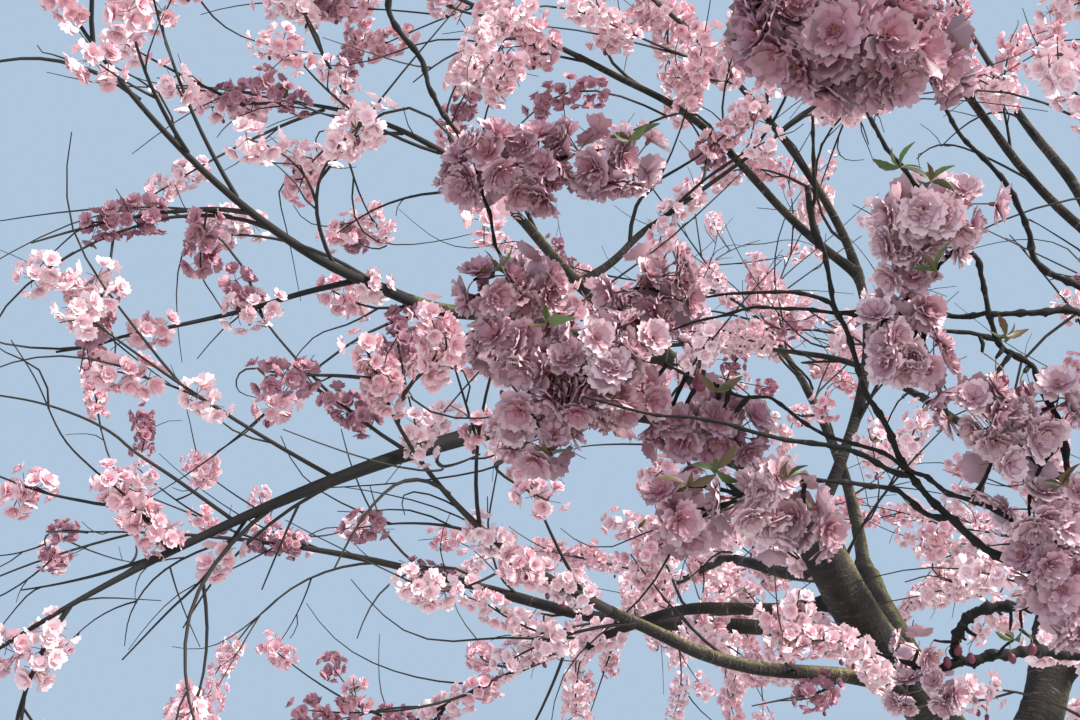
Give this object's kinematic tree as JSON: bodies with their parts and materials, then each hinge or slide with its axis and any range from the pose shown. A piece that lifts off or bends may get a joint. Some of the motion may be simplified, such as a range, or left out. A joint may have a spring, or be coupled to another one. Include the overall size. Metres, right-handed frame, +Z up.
{
  "type": "cherry blossom tree",
  "caption": "Spreading double-flowered cherry tree in full pink blossom, with a short flared trunk, arching dark limbs and open masses of blossom.",
  "frame": {"origin": "centre of the flat cut under the trunk, at ground level", "axes": "+Z up; +Y points away from the side the picture was taken from, +X to its right"},
  "size_m": [6.2064, 6.2696, 5.4591],
  "materials": {
    "bark": "rough dark grey-brown bark with moss-green lights",
    "blossom": "soft matt pale pink petals on dark twigs"
  },
  "bodies": {
    "root": {"trunk": "bark", "limb_left": "bark", "limb_right": "bark", "limb_back": "bark", "limb_front": "bark", "limb_top": "bark", "bough_left_low": "bark", "bough_left_rise": "bark", "bough_left_high": "bark", "bough_middle": "bark", "bough_fork": "bark", "bough_high_left": "bark", "bough_sunlit": "bark", "bough_shade": "bark", "bough_right": "bark", "bough_right_top": "bark", "bough_right_front": "bark", "bough_right_back": "bark", "bough_back": "bark", "bough_back_top": "bark", "bough_back_left": "bark", "bough_back_high": "bark", "bough_front_low": "bark", "bough_front_right": "bark", "bough_front_rise": "bark", "bough_front_top": "bark", "bough_right_high": "bark", "bough_top_left": "bark", "bough_top": "bark", "bough_top_right": "bark", "blossom_left_low": "blossom", "blossom_left_rise": "blossom", "blossom_middle": "blossom", "blossom_left_high": "blossom", "blossom_fork": "blossom", "blossom_high_left": "blossom", "blossom_sunlit": "blossom", "blossom_shade": "blossom", "blossom_right": "blossom", "blossom_right_top": "blossom", "blossom_right_front": "blossom", "blossom_right_back": "blossom", "blossom_back": "blossom", "blossom_back_top": "blossom", "blossom_back_left": "blossom", "blossom_back_high": "blossom", "blossom_front_low": "blossom", "blossom_front_right": "blossom", "blossom_front_rise": "blossom", "blossom_front_top": "blossom", "blossom_right_high": "blossom", "blossom_top_left": "blossom", "blossom_top": "blossom", "blossom_top_right": "blossom"}
  },
  "joints": []
}
